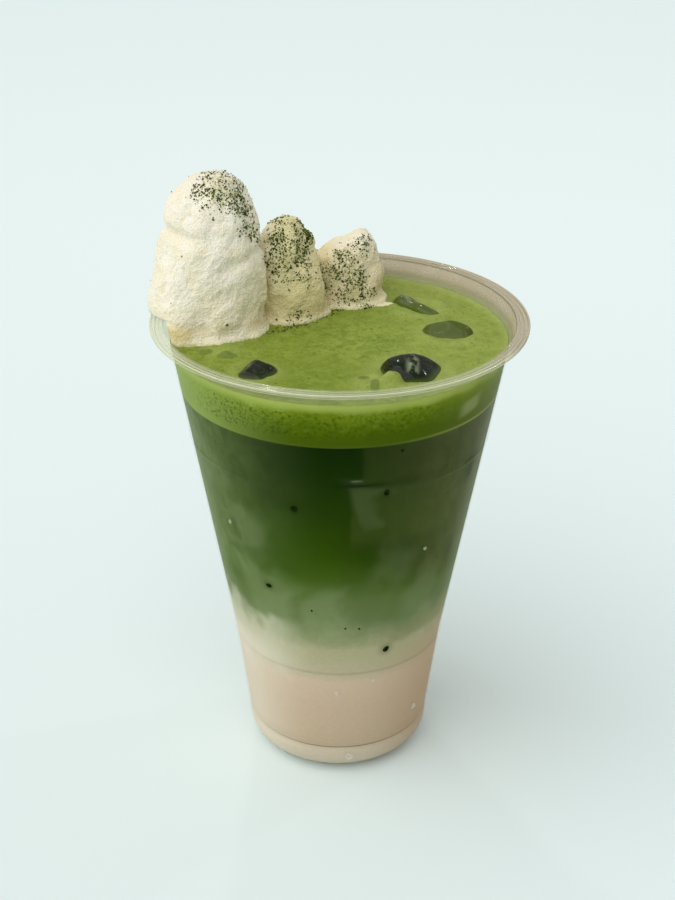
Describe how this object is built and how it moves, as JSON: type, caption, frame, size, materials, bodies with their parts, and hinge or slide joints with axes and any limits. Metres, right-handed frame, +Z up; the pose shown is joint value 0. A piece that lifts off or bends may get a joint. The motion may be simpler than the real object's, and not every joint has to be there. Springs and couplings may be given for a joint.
{
  "type": "iced matcha latte in a clear takeaway cup",
  "caption": "Layered iced matcha drink in a clear tapered cup, with milk, green drink, foam, ice and dollops of whipped cream.",
  "frame": {"origin": "centre of the cup's base, on the surface it stands on", "axes": "+Z up along the cup's axis; -Y is the front; the tall dollop of cream stands at -X"},
  "size_m": [0.098, 0.098, 0.1634],
  "materials": {
    "cup": "clear thin plastic, glossy",
    "milk": "opaque milk seen through the wall",
    "matcha": "dark green drink that fades into the milk",
    "foam": "yellow-green foam with fine dark bubbles",
    "cream": "rough whipped cream, soft sheen",
    "ice": "wet ice with dark green drink behind it",
    "powder": "dry dark-green matcha grains"
  },
  "bodies": {
    "root": {"cup": "cup", "milk": "milk", "matcha": "matcha", "foam": "foam", "cream_tall": "cream", "cream_middle": "cream", "cream_low": "cream", "ice_front": "ice", "ice_left": "ice", "ice_right": "ice", "ice_back": "ice"}
  },
  "joints": []
}
